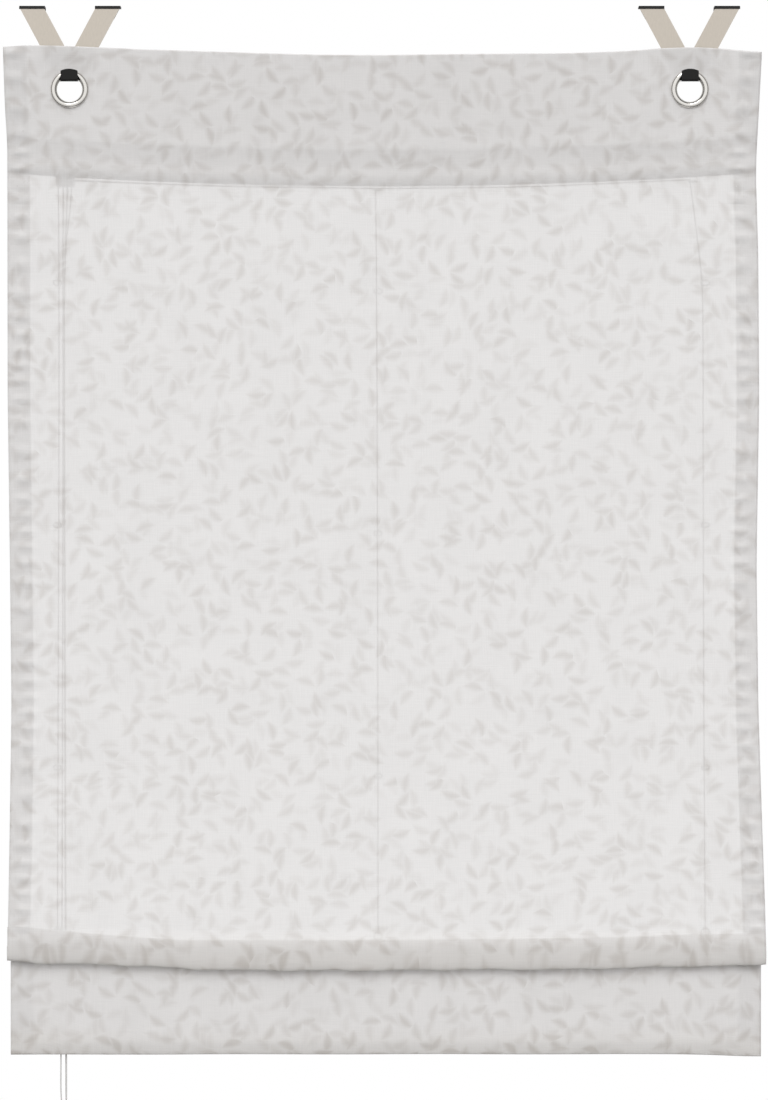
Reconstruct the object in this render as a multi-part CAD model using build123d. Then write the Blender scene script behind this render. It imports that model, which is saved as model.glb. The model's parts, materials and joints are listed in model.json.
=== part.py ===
"""Roman blind of printed voile, hung by two V-shaped sash hooks through its eyelets.

Millimetres. +Z up, +X to the right as seen from the room, -Y towards the room.
The origin lies on the sash's top edge, midway along the blind: z = 0 is the plane
on which the four hook arms rest.
"""
from build123d import *
from math import radians, sin, cos, tan, sqrt, asin, degrees, pi
import os

# Cloth
cloth_t = 0.5                # one layer of voile
cloth_width = 1006.0         # finished width, side to side
corner_spread = 1.0          # the header's top corners stand out by this much in all
pocket_draw = 16.0           # the rod pocket draws the cloth in
hem_draw = 9.0               # and so does the bar's pocket in the hem
side_hem = 36.0              # turned-in hem down each side
top_drop = 51.5              # hook seats to the header's top edge at the hooks
corner_drop = 5.0            # top corners below that
middle_drop = 12.5           # middle of the top edge below that
panel_length = 959.0         # loose single cloth
fold_gap = 0.3               # between the panel's foot and the fold's top edge

# Rod pocket and rod, which bends under the cloth
rod_d = 6.0
rod_end_gap = 6.0            # rod's end to the pocket's end
rod_clearance = 0.3
rod_sag = 17.0               # middle of the rod below its ends
pocket_drop = 138.0          # top edge at the hooks to the upper seam, at the middle
pocket_height = 43.0
pocket_seam = 6.0            # seam allowance under the lower seam
panel_drop = 23.5            # seam allowance, at the middle, to the loose cloth
rod_lift = 3.0               # lower seam to the rod's underside
rod_hug = 2.2                # height, each way, over which the back layer hugs the rod
pocket_start = 6.0           # straight part of the back layer over the upper seam
pocket_bends = (4.0, 2.2, 2.2, 1.0)   # bend radii of the back layer, from the top

# Drawn-up fold and hem
fold_sag = 7.5               # middle of the fold below its ends
fold_drop = 56.0             # panel's foot to the front fold, at the middle
fold_height = 35.5           # front fold up to the crest, where the cloth turns down again
fold_depth = 5.0             # front layer to the layer behind it
crest_depth = 4.0            # that layer to the hem behind it
fold_round = 0.48            # bend radius as a share of a fold's depth
hem_drop = 150.5             # crest to the hem's lower edge
hem_pocket_height = 19.0
hem_turn_gap = 4.0           # the hem's back layer ends this far under the crest
pocket_slope = 2.5           # height over which the bar pocket's back leaves the hem
pocket_bend = 1.2
lap = 5.0                    # how far straight and sagging cloth run into each other

# Weight bar in the hem
bar_width = 15.0
bar_t = 3.0
bar_end_gap = 6.0            # bar's end to the hem's side
bar_clearance = 0.3
bar_round = 0.45             # edge radius as a share of the bar's thickness

# Eyelets
eyelet_inset = (86.0, 97.5)  # header's corners to the left and right eyelet
eyelet_drop = 57.9           # header's top edge at the hooks to the eyelets' centres
eyelet_bore_r = 16.6
eyelet_outer_r = 26.2
eyelet_wall = 0.8
eyelet_dome = 3.0            # height of the flange over the cloth
eyelet_flank = 1.6           # run of the dome's outer flank
eyelet_throat = 1.8          # run of the throat, crown to barrel
throat_lip = 0.7             # the throat turns straight this far in front of the cloth
eyelet_roll = 3.0            # how far the barrel is rolled out behind the washer
eyelet_bends = (1.2, 1.6, 1.6, 0.9)
washer_t = 1.2
washer_edge = 0.35
washer_clearance = 0.1       # washer to barrel
washer_rim = 0.7             # how far the flange overhangs the washer
cloth_hole_clearance = 0.3

# Hooks of bent sheet steel
plate_t = 1.0
plate_gap = 1.5              # eyelet's rolled back to the plate
arm_width = 32.4             # measured level, along the arm's cut top
arm_lean = 28.2              # degrees from upright
hook_width = 133.0           # over both arms at the top
sash_t = 17.0                # depth of the seat, over the sash's edge
back_lip = 13.0              # length of the lip behind the sash
lip_inset = 2.5              # the lip starts this far in from the arm's outer corner
bend_r = 1.6                 # inside radius of each bend
crotch_r = 3.0               # rounding between the two arms
arm_strip = 20.0             # length of each arm's strip below its seat
relief_side = 0.8            # cut beside the tongue's bend
relief_top = 1.5             # and over it
tongue_root = 12.0           # length of the tongue's strip over its bend
sleeve_setback = 1.0         # tongue's bend to the start of its sleeve
tongue_width = 22.0
tongue_reach = 11.5          # plate to the upturned lip
lip_rise = 15.0              # height of the upturned lip
lip_lean = 1.6               # the lip leans into the room
pad_t = 0.6                  # rubber sleeve on each seat
pad_side = 0.7
pad_front = 2.2              # how far the sleeve comes down the front
tongue_sleeve_t = 0.3
seat_clearance = 0.08        # sleeve to eyelet bore
sleeve_clearance = 0.02      # sleeve to steel

# Rings and cords
ring_r = 5.5                 # centre line of the ring
ring_wire_r = 1.0
ring_tilt = 35.0             # degrees that a sewn ring droops
sewn_gap = 0.3               # thread between a ring and the cloth
column_inset = (69.0, 76.0)  # cloth's sides to the left and right column
column_middle = -8.0
row_drop = 104.0             # top of the loose cloth to the first row
row_pitch = 322.0
row_count = 3
middle_droop = 11.0          # middle column hangs this much lower
cord_r = 0.9
cord_gap = 0.3
cord_y = 7.0                 # lift cords behind the cloth
cord_lean = 0.4              # lift cords drift this far from their rings
ring_touch = 0.2             # and lie this much deeper in the rings
guide_inset = 85.0           # pocket's right end to the right guide ring
guide_drop = 4.5             # guide rings below the pocket's seam allowance
knot_r = 2.4
knot_clearance = 0.05
column_bend = 900.0          # bend radius of a cord that turns only slightly
right_bend = 600.0
middle_run = ((-210.0, 7.3, 2.4),)    # cord's points: across, depth, drop under the seam
right_run = ((200.0, 9.0, 2.6), (-4.0, 11.2, 2.0), (-215.0, 10.6, 2.2))

# Cord guide at the left, where the cords turn down
block_size = (24.0, 18.0, 16.0)
block_inset = 71.0           # pocket's left end to the guide's middle
block_rise = 8.5             # seam allowance, at the middle, up to the guide's middle
block_round = 1.5
cord_hole_r = 1.2
cord_hole_depth = 4.0
cord_end_gap = 0.1           # cord's end to the hole's floor
lift_entry = -9.0            # left lift cord, from the guide's middle
pull_exit = (-3.0, 2.5, 8.0)          # the three pull cords come out below the guide
pull_crest = (-3.0, 3.4, 9.8)         # behind the fold's crest
pull_hem = (-1.4, 0.7, 5.0)           # just below the hem
pull_hem_drop = 12.0
run_y = (6.5, 10.5)          # middle and right cords come in from the side
stop_knots = ((1, 5.5), (2, 14.0))    # pull cord, and drop under the guide, of each stop knot

# Cord weight on the pull cords
acorn_drop = 100.0           # hem's lower edge to the weight
acorn_height = 45.0
acorn_top_r = 5.0
acorn_shoulder_r = 6.2
acorn_shoulder_drop = 12.0
acorn_belly_r = 9.0
acorn_belly_drop = 30.0
acorn_foot_r = 7.5
acorn_bore_r = 3.0
acorn_pocket_r = 5.0
acorn_pocket_depth = 14.0
acorn_shift = 1.4            # from the guide's middle
acorn_entry = 8.0            # the cords come together this far over the weight
cords_apart = 1.3            # from the weight's axis to each cord
cord_angles = (205, 90, 335)
end_knot_r = 4.2
end_knot_gap = 0.1

# How far a cutting shape reaches past what it cuts
overcut = 20.0

# Worked out from the above
width_top = cloth_width + corner_spread
width_pocket = cloth_width - pocket_draw
width_fold = cloth_width
width_hem = cloth_width - hem_draw
top_peak_z = -top_drop
top_corner_z = top_peak_z - corner_drop
pocket_top_z = top_peak_z - pocket_drop
seam_bottom_z = pocket_top_z - pocket_height - pocket_seam
panel_top_z = seam_bottom_z - panel_drop
panel_bottom_z = panel_top_z - panel_length
fold_bottom_z = panel_bottom_z - fold_drop
crest_z = fold_bottom_z + fold_height
hem_bottom_z = crest_z - hem_drop
eyelet_z = top_peak_z - eyelet_drop
block_z = seam_bottom_z + block_rise
acorn_top_z = hem_bottom_z - acorn_drop
rod_length = width_pocket - 2 * rod_end_gap
bar_length = width_hem - 2 * bar_end_gap
eyelet_x = (eyelet_inset[0] - width_top / 2, width_top / 2 - eyelet_inset[1])
column_x = (column_inset[0] - width_fold / 2, column_middle, width_fold / 2 - column_inset[1])
guide_x = (column_middle, width_pocket / 2 - guide_inset)
block_x = block_inset - width_pocket / 2
acorn_x = block_x + acorn_shift
t = cloth_t
half = t / 2


def path_offset(points, distance):
    """Corners of an open path moved sideways, to the left of its direction."""
    steps = [(Vector(b) - Vector(a)).normalized() for a, b in zip(points, points[1:])]
    normals = [Vector(-s.Y, s.X) for s in steps]
    moved = [Vector(points[0]) + normals[0] * distance]
    for point, first, second in zip(points[1:-1], normals, normals[1:]):
        moved.append(Vector(point) + (first + second) * (distance / (1 + first.dot(second))))
    moved.append(Vector(points[-1]) + normals[-1] * distance)
    return moved


def facing(outline):
    """The face inside an outline, looking towards +X, so that sections join up."""
    face = make_face(outline).face()
    return face if face.normal_at().X > 0 else -face


def strip_face(points, radii, thickness):
    """A bent strip's section: a path of (depth, height) points with rounded bends."""
    steps = [Vector(b) - Vector(a) for a, b in zip(points, points[1:])]
    turns = [1 if a.X * b.Y - a.Y * b.X > 0 else -1 for a, b in zip(steps, steps[1:])]
    sides = []
    for way in (1, -1):
        corners = [(0, p.X, p.Y) for p in path_offset(points, way * thickness / 2)]
        bends = [r - way * turn * thickness / 2 for r, turn in zip(radii, turns)]
        sides.append((corners, FilletPolyline(*corners, radius=bends)))
    (left, left_line), (right, right_line) = sides
    ends = Line(left[0], right[0]) + Line(left[-1], right[-1])
    return facing(left_line + right_line + ends)


def block_face(y0, y1, z0, z1):
    """A rectangle in the depth and height plane."""
    return facing(Polyline((0, y0, z0), (0, y1, z0), (0, y1, z1), (0, y0, z1), close=True))


def hung(face, sag, span, low_z, reach):
    """A section carried along a level arc that sags by sag in the middle of span."""
    radius = (span * span / 4 + sag * sag) / (2 * sag)
    turn = degrees(asin(reach / radius))
    axis = Axis((0, 0, low_z + radius), (0, 1, 0))
    return revolve(face.rotate(axis, -turn), axis=axis, revolution_arc=2 * turn)


def sag_height(x, sag, span):
    """How far the hung arc stands above its middle at x."""
    radius = (span * span / 4 + sag * sag) / (2 * sag)
    return radius - sqrt(radius * radius - x * x)


def slab(edges, y0, y1):
    """A flat outline in the width and height plane, given depth from y0 to y1."""
    return extrude(make_face(edges).translate((0, y0, 0)), amount=y1 - y0, dir=(0, 1, 0))


def level_box(x0, x1, y0, y1, z0, z1):
    size = Box(x1 - x0, y1 - y0, z1 - z0)
    return Pos((x0 + x1) / 2, (y0 + y1) / 2, (z0 + z1) / 2) * size


def header_edge():
    """The header's top edge: highest at the hooks, lower at the corners and in the middle."""
    corner = width_top / 2
    between = top_peak_z - middle_drop / 2
    left, right = eyelet_x
    points = [(-corner, 0, top_corner_z), (left, 0, top_peak_z), (left / 2, 0, between)]
    points += [(0, 0, top_peak_z - middle_drop)]
    points += [(right / 2, 0, between), (right, 0, top_peak_z), (corner, 0, top_corner_z)]
    return Spline(*points)


bulge_y = half + 2 * rod_clearance + rod_d + half
rod_y = half + rod_clearance + rod_d / 2
rod_z = pocket_top_z - pocket_height + rod_lift + rod_d / 2
barrel_r = eyelet_bore_r + eyelet_wall


def make_header():
    """Doubled header with its rod pocket and two eyelet holes, in one piece with the cloth."""
    high = top_peak_z + overcut
    pocket_low = pocket_top_z - pocket_height
    path = [
        (t, pocket_top_z + pocket_start), (t, pocket_top_z), (bulge_y, rod_z + rod_hug),
        (bulge_y, rod_z - rod_hug), (t, pocket_low), (t, seam_bottom_z),
    ]
    section = block_face(-half, half, panel_top_z - rod_sag - overcut, high)
    section += block_face(half, half + t, pocket_top_z, high)
    section += strip_face(path, pocket_bends, t)
    cloth = hung(section, rod_sag, width_pocket, pocket_top_z, width_top / 2 + overcut)
    top, low = width_top / 2, width_pocket / 2
    sides = Polyline((-top, 0, top_corner_z), (-low, 0, pocket_top_z), (-low, 0, panel_top_z))
    sides += Line((-low, 0, panel_top_z), (low, 0, panel_top_z))
    sides += Polyline((low, 0, panel_top_z), (low, 0, pocket_top_z), (top, 0, top_corner_z))
    header = cloth & slab(header_edge() + sides, -overcut, overcut)
    for x in eyelet_x:
        hole = Cylinder(barrel_r + cloth_hole_clearance, overcut)
        hole = Pos(x, 0, eyelet_z) * Rot(90, 0, 0) * hole
        header -= hole
    return header


def panel_half_width(z):
    """The cloth's half width, which grows evenly from the rod pocket to the fold."""
    share = (panel_top_z - z) / (panel_top_z - panel_bottom_z)
    return (width_pocket + (width_fold - width_pocket) * share) / 2


def make_panel():
    """The single cloth between the header and the fold, with a turned-in hem at each side."""
    foot_z = panel_bottom_z + fold_gap
    top, low = panel_half_width(panel_top_z), panel_half_width(foot_z)
    corners = [(-top, panel_top_z), (top, panel_top_z), (low, foot_z), (-low, foot_z)]
    panel = slab(Polyline(*[(x, 0, z) for x, z in corners], close=True), -half, half)
    for side in (-1, 1):
        strip = [
            (side * top, panel_top_z), (side * (top - side_hem), panel_top_z),
            (side * (low - side_hem), foot_z), (side * low, foot_z),
        ]
        panel += slab(Polyline(*[(x, 0, z) for x, z in strip], close=True), half, half + t)
    return panel


hem_y = fold_depth + crest_depth
bar_y = hem_y + half + bar_clearance + bar_t / 2
bar_pocket_y = bar_y + bar_t / 2 + bar_clearance + half


def make_hem():
    """The drawn-up fold, the crest behind it, the doubled hem and the bar's pocket."""
    pocket_top = hem_bottom_z + hem_pocket_height
    fold_r, crest_r = fold_round * fold_depth, fold_round * crest_depth
    low_end = pocket_top - fold_sag
    path = [
        (0, panel_bottom_z + overcut), (0, fold_bottom_z), (fold_depth, fold_bottom_z),
        (fold_depth, crest_z), (hem_y, crest_z), (hem_y, low_end),
    ]
    section = strip_face(path, [fold_r, fold_r, crest_r, crest_r], t)
    section += block_face(hem_y + half, hem_y + half + t, low_end, crest_z - hem_turn_gap)
    cloth = hung(section, fold_sag, width_fold, fold_bottom_z, width_fold / 2 + overcut)
    wide, low = width_fold / 2, width_hem / 2
    cut_z = pocket_top + lap / 2
    frame = Polyline(
        (-wide, 0, panel_bottom_z), (wide, 0, panel_bottom_z),
        (wide, 0, cut_z), (-wide, 0, cut_z), close=True,
    )
    cloth &= slab(frame, -overcut, overcut)
    back_y = fold_depth + crest_depth / 2
    for side in (-1, 1):
        edge = sorted((side * low, side * (wide + overcut)))
        cloth -= level_box(*edge, back_y, back_y + overcut, low_end, crest_z + overcut)
    loop = [
        (hem_y, pocket_top - lap), (hem_y, hem_bottom_z + half), (bar_pocket_y, hem_bottom_z + half),
        (bar_pocket_y, pocket_top - pocket_slope), (hem_y + t, pocket_top), (hem_y + t, pocket_top + lap),
    ]
    pocket = strip_face(loop, [pocket_bend] * 4, t)
    pocket += block_face(hem_y - half, hem_y + half, pocket_top - 2 * lap, pocket_top + lap)
    return cloth + across(pocket, -low, low)


def make_rod():
    """Thin glass-fibre rod, bent to the pocket's sag."""
    circle = make_face(Edge.make_circle(rod_d / 2, Plane((0, rod_y, rod_z), z_dir=(1, 0, 0))))
    return hung(circle, rod_sag, width_pocket, pocket_top_z, rod_length / 2)


def make_bar():
    """Flat aluminium weight bar with rounded long edges."""
    z = hem_bottom_z + t + bar_clearance + bar_width / 2
    bar = Pos(0, bar_y, z) * Box(bar_length, bar_t, bar_width)
    return fillet(bar.edges().filter_by(Axis.X), bar_round * bar_t)


def turned(points, radii, thickness, x):
    """A bent strip, given as (radius, depth), turned about the axis of the eyelet at x."""
    flat = [(y, r) for r, y in points]
    face = strip_face(flat, radii, thickness)
    return Pos(x, 0, eyelet_z) * revolve(face, axis=Axis((0, 0, 0), (0, 1, 0)))


def make_eyelet_front(x):
    """Domed flange and barrel, rolled over the washer behind the cloth."""
    front = -half
    crown = front - eyelet_dome + eyelet_wall / 2
    barrel = eyelet_bore_r + eyelet_wall / 2
    roll = half + t + washer_t + eyelet_wall
    rim = eyelet_outer_r - eyelet_wall / 2
    path = [
        (rim, front - eyelet_wall / 2), (rim - eyelet_flank, crown), (barrel + eyelet_throat, crown),
        (barrel, front - throat_lip), (barrel, roll), (barrel + eyelet_roll, roll),
    ]
    return turned(path, eyelet_bends, eyelet_wall, x)


def make_eyelet_back(x):
    """Flat washer behind the cloth, with eased edges."""
    inner = barrel_r + washer_clearance
    outer = eyelet_outer_r - washer_rim
    low = half + t
    face = block_face(low, low + washer_t, inner, outer)
    ring = revolve(face, axis=Axis((0, 0, 0), (0, 1, 0)))
    ring = chamfer(ring.edges().group_by(Axis.Y)[-1], washer_edge)
    return Pos(x, 0, eyelet_z) * ring


plate_y = half + t + washer_t + 1.5 * eyelet_wall + plate_gap + plate_t / 2
tongue_half = tongue_width / 2 + tongue_sleeve_t
tongue_top = eyelet_z + sqrt((eyelet_bore_r - seat_clearance) ** 2 - tongue_half ** 2)
tongue_z = tongue_top - tongue_sleeve_t - plate_t / 2
seat_z = pad_t + plate_t / 2
seat_back_y = plate_y + plate_t / 2 + sash_t + 2 * pad_t + plate_t / 2
bend_line_r = bend_r + plate_t / 2
lip_y = plate_y - tongue_reach
seat_path = [(plate_y, seat_z - arm_strip), (plate_y, seat_z)]
seat_path += [(seat_back_y, seat_z), (seat_back_y, -back_lip)]
tongue_path = [
    (plate_y, tongue_z + tongue_root), (plate_y, tongue_z), (lip_y, tongue_z),
    (lip_y - lip_lean, tongue_z + lip_rise),
]


def across(face, x0, x1):
    """A depth and height section drawn out from x0 to x1."""
    return Pos(x0, 0, 0) * extrude(face, amount=x1 - x0, dir=(1, 0, 0))


def lip_tip(extra):
    """Trims the lip's tip to an arc that follows the eyelet's rim."""
    wide, top = tongue_half + overcut, tongue_z + lip_rise + overcut
    radius = eyelet_outer_r + extra
    keep = Pos(0, 0, eyelet_z) * Rot(90, 0, 0) * Cylinder(radius, 3 * overcut)
    return level_box(-wide, wide, lip_y - overcut, (lip_y + plate_y) / 2, tongue_z, top) - keep


def arm_span(extra):
    """Left and right arm, from side to side, at the cut top."""
    out = hook_width / 2
    return [(-out - extra, -out + arm_width + extra), (out - arm_width - extra, out + extra)]


def lip_trim(extra):
    """What is cut from the back lips, so that they lean in like the arms before them."""
    out = hook_width / 2 - lip_inset + extra
    near, far = seat_back_y - bend_line_r, seat_back_y + overcut
    run = back_lip + overcut
    inner = out - run * tan(radians(arm_lean))
    corners = [(out, 0), (inner, -run), (out + overcut, -run), (out + overcut, 0)]
    right = slab(Polyline(*[(a, 0, b) for a, b in corners], close=True), near, far)
    left = slab(Polyline(*[(-a, 0, b) for a, b in corners], close=True), near, far)
    return [left, right]


def make_hook(x):
    """One plate: two leaning arms, their seats over the sash and the tongue in the eyelet."""
    out, lean = hook_width / 2, tan(radians(arm_lean))
    top = seat_z - bend_line_r
    low = tongue_z - plate_t / 2
    inner = out - arm_width
    outer_low = out - (top - low) * lean
    crotch = top - inner / lean
    outline = [(-out, top), (-inner, top), (0, crotch), (inner, top), (out, top)]
    outline += [(outer_low, low), (-outer_low, low)]
    plate = slab(
        Polyline(*[(a, 0, b) for a, b in outline], close=True),
        plate_y - plate_t / 2, plate_y + plate_t / 2,
    )
    corner = plate.edges().filter_by(Axis.Y).sort_by_distance((0, plate_y, crotch))[0]
    plate = fillet(corner, crotch_r)
    relief = tongue_width / 2 + relief_side
    near, far = plate_y - plate_t, plate_y + plate_t
    plate -= level_box(-relief, relief, near, far, low - plate_t, tongue_z + bend_line_r + relief_top)
    seat = strip_face(seat_path, [bend_line_r, bend_line_r], plate_t)
    seat -= block_face(near, far, seat_path[0][1] - plate_t, top)
    for left, right in arm_span(0):
        plate += across(seat, left, right)
    plate -= lip_trim(0)
    tongue = strip_face(tongue_path, [bend_line_r, bend_line_r], plate_t)
    tongue = across(tongue, -tongue_width / 2, tongue_width / 2)
    return Pos(x, 0, 0) * (plate + (tongue - lip_tip(-tongue_sleeve_t)))


def make_seat_pad(x, span):
    """Black rubber sleeve round one arm's seat and back lip."""
    near = seat_z - pad_front - pad_t - plate_t / 2
    path = [(plate_y, near), *seat_path[1:-1], (seat_back_y, -back_lip - pad_t)]
    core = [(plate_y, near - plate_t), *seat_path[1:]]
    radii = [bend_line_r, bend_line_r]
    skin = strip_face(path, radii, plate_t + 2 * pad_t)
    hollow = strip_face(core, radii, plate_t + 2 * sleeve_clearance)
    left, right = span
    gap = pad_side - sleeve_clearance
    core_solid = across(hollow, left + gap, right - gap) - lip_trim(sleeve_clearance)
    pad = across(skin, left, right) - lip_trim(pad_side) - core_solid
    inward = 1 if left + right < 0 else -1
    edge = right - gap if inward > 0 else left + gap
    notch = sorted((edge - inward, edge + 2 * inward))
    deep = plate_t / 2 + sleeve_clearance
    pad -= level_box(*notch, plate_y - deep, plate_y + deep, near - plate_t, seat_z - bend_line_r)
    return Pos(x, 0, 0) * pad


def make_tongue_sleeve(x):
    """Black sleeve over the tongue and its lip, where the eyelet hangs."""
    radii = [bend_line_r]
    path = [(plate_y - bend_line_r - sleeve_setback, tongue_z), *tongue_path[2:]]
    skin = strip_face(path, radii, plate_t + 2 * tongue_sleeve_t)
    core_path = [(plate_y, tongue_z), *tongue_path[2:]]
    hollow = strip_face(core_path, radii, plate_t + 2 * sleeve_clearance)
    wide = tongue_half
    inner = tongue_width / 2 + sleeve_clearance
    sleeve = across(skin, -wide, wide) - lip_tip(0)
    core = across(hollow, -inner, inner) - lip_tip(sleeve_clearance - tongue_sleeve_t)
    return Pos(x, 0, 0) * (sleeve - core)


def make_ring(x, y, z, tilt):
    """Clear plastic ring, sewn on at its front."""
    return Pos(x, y, z) * Rot(-tilt, 0, 0) * Torus(ring_r, ring_wire_r)


def seam_z(x):
    """Height of the seam allowance's lower edge at x."""
    return seam_bottom_z + sag_height(x, rod_sag, width_pocket)


def row_z(row, column):
    """Height of a ring: the middle column hangs a little lower."""
    droop = middle_droop if column == 1 else 0
    return panel_top_z - row_drop - row * row_pitch - droop


ring_y = half + t + sewn_gap + ring_r * cos(radians(ring_tilt)) + ring_wire_r
guide_y = half + t + sewn_gap + ring_r + ring_wire_r
crest_ring_y = fold_depth + crest_depth / 2
turn_r = ring_wire_r + cord_r + cord_gap


def guide_z(index):
    return seam_z(guide_x[index]) - guide_drop


def crest_ring_z(column):
    crest = crest_z + half + sag_height(column_x[column], fold_sag, width_fold)
    return crest + sewn_gap + ring_r + ring_wire_r


def tie_z(column):
    """Where a lift cord is tied: the top of its lowest ring."""
    return crest_ring_z(column) + ring_r


def make_tie_knot(column):
    """The hitch that ties a lift cord round the top of its lowest ring."""
    x = column_x[column]
    knot = Pos(x, crest_ring_y, tie_z(column)) * Sphere(knot_r)
    ring = Torus(ring_r, ring_wire_r + knot_clearance)
    return knot - Pos(x, crest_ring_y, crest_ring_z(column)) * Rot(90, 0, 0) * ring


def cord_tube(route, radii=None):
    """A cord along straight runs and tangent arcs, as large as the runs allow."""
    runs = [Vector(b) - Vector(a) for a, b in zip(route, route[1:])]
    turns = [a.get_angle(b) for a, b in zip(runs, runs[1:])]
    if radii is None:
        shorter = [min(a.length, b.length) for a, b in zip(runs, runs[1:])]
        radii = [0.45 * s / tan(radians(a) / 2) for s, a in zip(shorter, turns)]
    line = FilletPolyline(*route, radius=radii)
    start = Plane(route[0], z_dir=runs[0])
    tube = sweep(make_face(Edge.make_circle(cord_r, start)), path=line)
    expected = pi * cord_r ** 2 * line.length
    print("cord", round(line.length, 1), "mm, volume share", round(tube.volume / expected, 4),
          "least radius", round(min(radii), 1))
    return tube


block_y = half + t + sewn_gap + block_size[1] / 2
block_right = block_x + block_size[0] / 2
block_low = block_z - block_size[2] / 2
entry = cord_hole_depth - cord_end_gap
pull_y = bar_pocket_y + half + cord_gap + knot_r


def side_entry(index):
    """Where the middle or right cord ends inside the guide's side hole."""
    return (block_right - entry, run_y[index], block_z)


def make_lift_left():
    """The left lift cord: up its column and straight into the guide."""
    x = column_x[0]
    foot = (x, crest_ring_y, tie_z(0) + knot_r)
    end = (block_x + lift_entry, cord_y, block_low + entry)
    return cord_tube([foot, (x, cord_y + ring_touch, row_z(0, 0)), end], [column_bend])


def make_lift_run(index):
    """The middle or right lift cord: up its column, over its guide ring and along to the left."""
    column = index + 1
    x, top = column_x[column], guide_z(index) + turn_r
    inside = guide_x[index] - ring_r + turn_r
    foot = (x, crest_ring_y, tie_z(column) + knot_r)
    lower = (x - cord_lean, cord_y + ring_touch, row_z(0, column))
    corner = (inside, cord_y, top)
    run = (middle_run, right_run)[index]
    route = [foot, lower, corner]
    route += [(across_x, y, seam_z(across_x) - drop) for across_x, y, drop in run]
    first = (column_bend, right_bend)[index]
    bends = [first, turn_r] + [column_bend] * len(run)
    return cord_tube([*route, side_entry(index)], bends)


def pull_route(index):
    """A pull cord from the guide, behind the cloth and the hem, down to the cord weight."""
    angle = radians(cord_angles[index])
    in_x = acorn_x + cords_apart * cos(angle)
    in_y = pull_y + cords_apart * sin(angle)
    return [
        (block_x + pull_exit[index], pull_y, block_low + entry),
        (block_x + pull_crest[index], pull_y, crest_z),
        (block_x + pull_hem[index], pull_y, hem_bottom_z - pull_hem_drop),
        (in_x, in_y, acorn_top_z + acorn_entry), (in_x, in_y, knot_top_z + cord_gap),
    ]


knot_top_z = acorn_top_z - (acorn_height - acorn_pocket_depth) - end_knot_gap


def make_block():
    """Cord guide sewn behind the pocket: cords go in at its side and bottom and come out below."""
    block = Pos(block_x, block_y, block_z) * Box(*block_size)
    block = fillet(block.edges(), block_round)
    hole = Cylinder(cord_hole_r, 2 * cord_hole_depth)
    for y in run_y:
        block -= Pos(block_right, y, block_z) * Rot(0, 90, 0) * hole
    block -= Pos(block_x + lift_entry, cord_y, block_low) * hole
    for exit_x in pull_exit:
        block -= Pos(block_x + exit_x, pull_y, block_low) * hole
    return block


def make_acorn():
    """Turned cord weight: bored for the cords, with a pocket below for their knot."""
    low = acorn_top_z - acorn_height
    outline = Spline(
        (acorn_top_r, 0, acorn_top_z), (acorn_shoulder_r, 0, acorn_top_z - acorn_shoulder_drop),
        (acorn_belly_r, 0, acorn_top_z - acorn_belly_drop), (acorn_foot_r, 0, low),
    )
    floor = low + acorn_pocket_depth
    inside = Polyline(
        (acorn_foot_r, 0, low), (acorn_pocket_r, 0, low), (acorn_pocket_r, 0, floor),
        (acorn_bore_r, 0, floor), (acorn_bore_r, 0, acorn_top_z), (acorn_top_r, 0, acorn_top_z),
    )
    body = revolve(make_face(outline + inside), axis=Axis.Z)
    return Pos(acorn_x, pull_y, 0) * body


def make_end_knot():
    """The knot that holds the three pull cords in the cord weight."""
    return Pos(acorn_x, pull_y, knot_top_z - end_knot_r) * Sphere(end_knot_r)


def make_stop_knot(index, drop):
    """A knot in a pull cord under the guide, which stops the blind at its full drop."""
    top, low = pull_route(index)[:2]
    z = block_low - drop
    x = top[0] + (low[0] - top[0]) * (z - top[2]) / (low[2] - top[2])
    bore = Cylinder(cord_r + cord_gap, 4 * knot_r)
    return Pos(x, pull_y, z) * (Sphere(knot_r) - bore)


parts = {"header": make_header(), "panel": make_panel(), "hem": make_hem()}
parts |= {"top_rod": make_rod(), "weight_bar": make_bar()}
for side, x in zip(("left", "right"), eyelet_x):
    parts[f"eyelet_front_{side}"] = make_eyelet_front(x)
    parts[f"eyelet_washer_{side}"] = make_eyelet_back(x)
    parts[f"hook_{side}"] = make_hook(x)
    parts[f"tongue_sleeve_{side}"] = make_tongue_sleeve(x)
    for arm, span in zip(("a", "b"), arm_span(pad_side)):
        parts[f"seat_sleeve_{side}_{arm}"] = make_seat_pad(x, span)
for column, side in enumerate(("left", "middle", "right")):
    for row in range(row_count):
        place = (column_x[column], ring_y, row_z(row, column))
        parts[f"ring_{side}_{row + 1}"] = make_ring(*place, ring_tilt)
    foot = (column_x[column], crest_ring_y, crest_ring_z(column))
    parts[f"ring_{side}_low"] = make_ring(*foot, 90)
    parts[f"tie_knot_{side}"] = make_tie_knot(column)
for index, side in enumerate(("middle", "right")):
    parts[f"guide_ring_{side}"] = make_ring(guide_x[index], guide_y, guide_z(index), 0)
    parts[f"lift_cord_{side}"] = make_lift_run(index)
parts["lift_cord_left"] = make_lift_left()
parts["cord_guide"] = make_block()
for index in range(3):
    parts[f"pull_cord_{index + 1}"] = cord_tube(pull_route(index))
parts["cord_weight"] = make_acorn()
parts["end_knot"] = make_end_knot()
for number, (index, drop) in enumerate(stop_knots):
    parts[f"stop_knot_{number + 1}"] = make_stop_knot(index, drop)

os.makedirs("parts", exist_ok=True)
for name, shape in parts.items():
    shape.label = name
    export_step(shape, f"parts/{name}.step")
    box = shape.bounding_box()
    print(name, "x", round(box.min.X, 1), round(box.max.X, 1), "y", round(box.min.Y, 2),
          round(box.max.Y, 2), "z", round(box.min.Z, 1), round(box.max.Z, 1))
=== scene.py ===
import json
import math

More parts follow.
